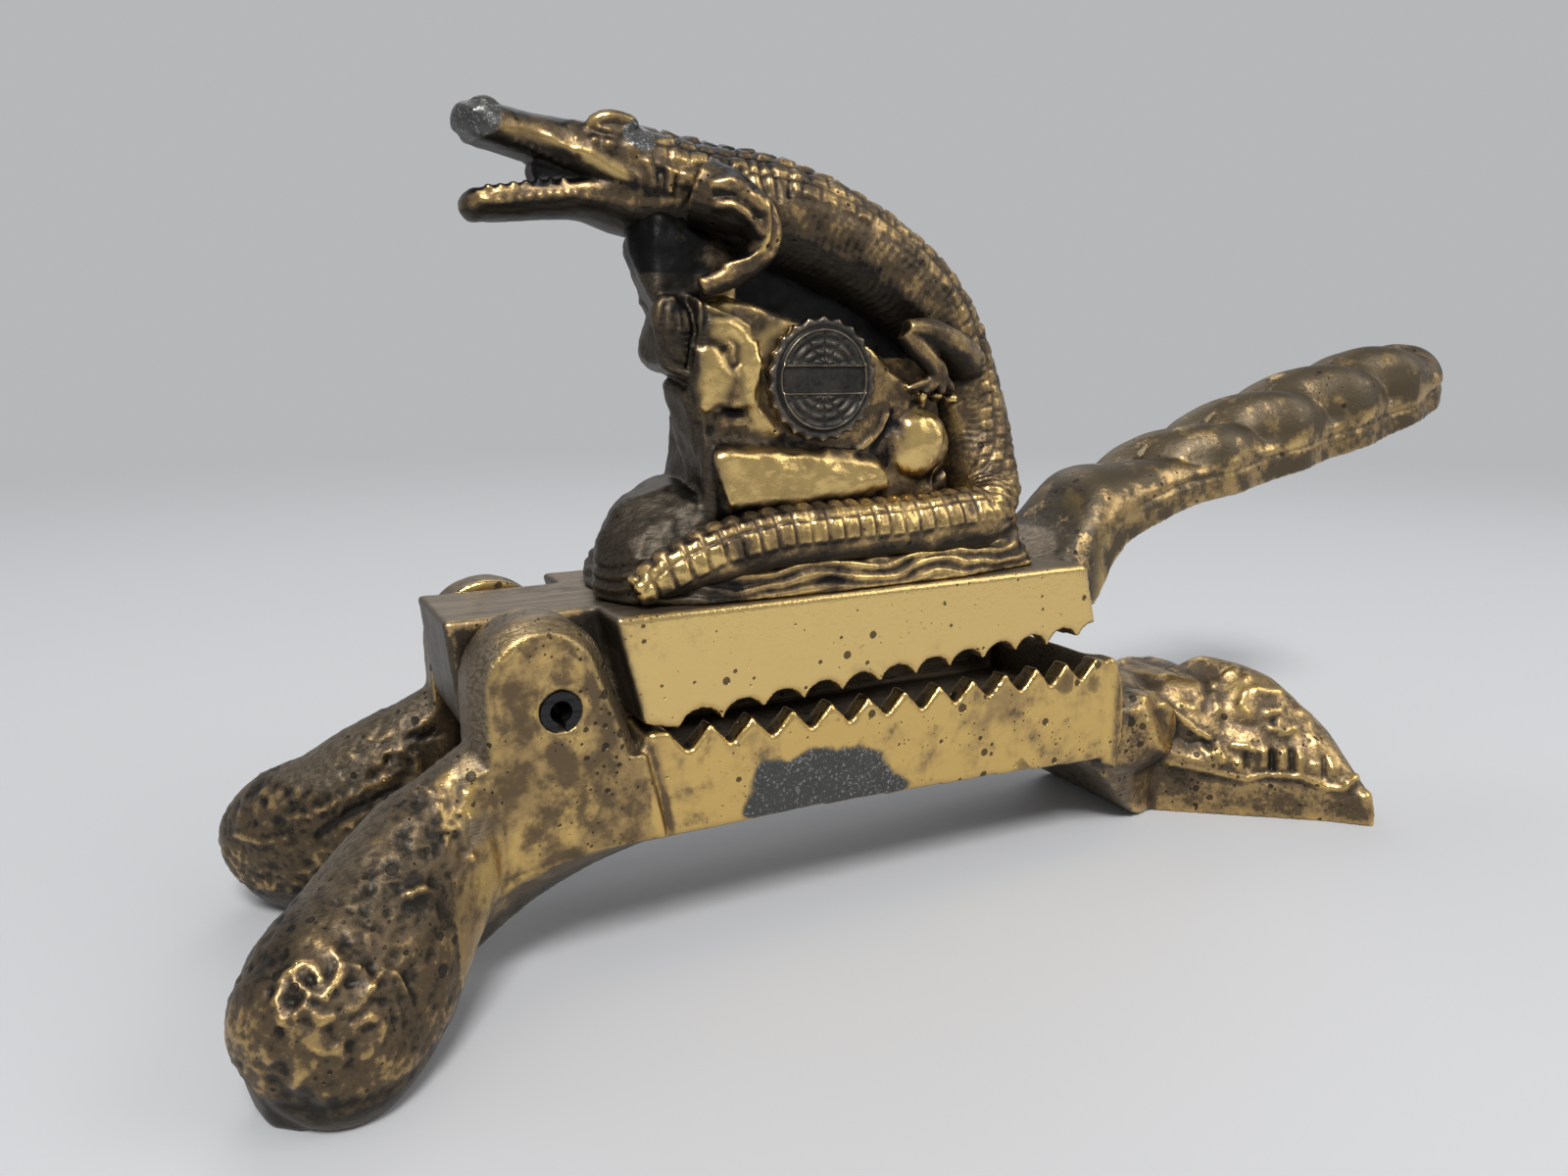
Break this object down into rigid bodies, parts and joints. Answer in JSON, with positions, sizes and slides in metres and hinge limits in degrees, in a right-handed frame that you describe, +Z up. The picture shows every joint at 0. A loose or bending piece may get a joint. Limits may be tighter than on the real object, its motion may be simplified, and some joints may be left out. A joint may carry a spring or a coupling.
{
  "type": "nutcracker",
  "caption": "Table nutcracker with a toothed trough on splayed feet, a hinged toothed lever with a long lobed grip, and a cast alligator on a rock above.",
  "frame": {"origin": "centre of the outer box in X and Y, on the ground plane that the feet stand on", "axes": "+X along the jaws from the hinge towards the grip, +Z up, +Y towards the far side"},
  "size_m": [0.21, 0.064, 0.1026],
  "materials": {
    "base_brass": "aged and pitted, worn bright on edges",
    "lever_brass": "aged, polished sides, brown top",
    "figure_brass": "dark brown patina in the hollows",
    "medallion_copper": "dull reddish brown",
    "pin_steel": "blackened",
    "screw_steel": "plain"
  },
  "bodies": {
    "base": {"base_casting": "base_brass", "hinge_pin": "pin_steel"},
    "lever": {"lever_casting": "lever_brass", "figure_casting": "figure_brass", "medallion": "medallion_copper", "figure_screws": "screw_steel", "screw_washers": "screw_steel"}
  },
  "joints": [
    {"name": "lever_pivot", "type": "hinge", "parent": "base", "child": "lever", "pos_m": [-0.06888, 0, 0.0349], "axis": [0, -1, 0], "range_deg": [0, 32]}
  ]
}
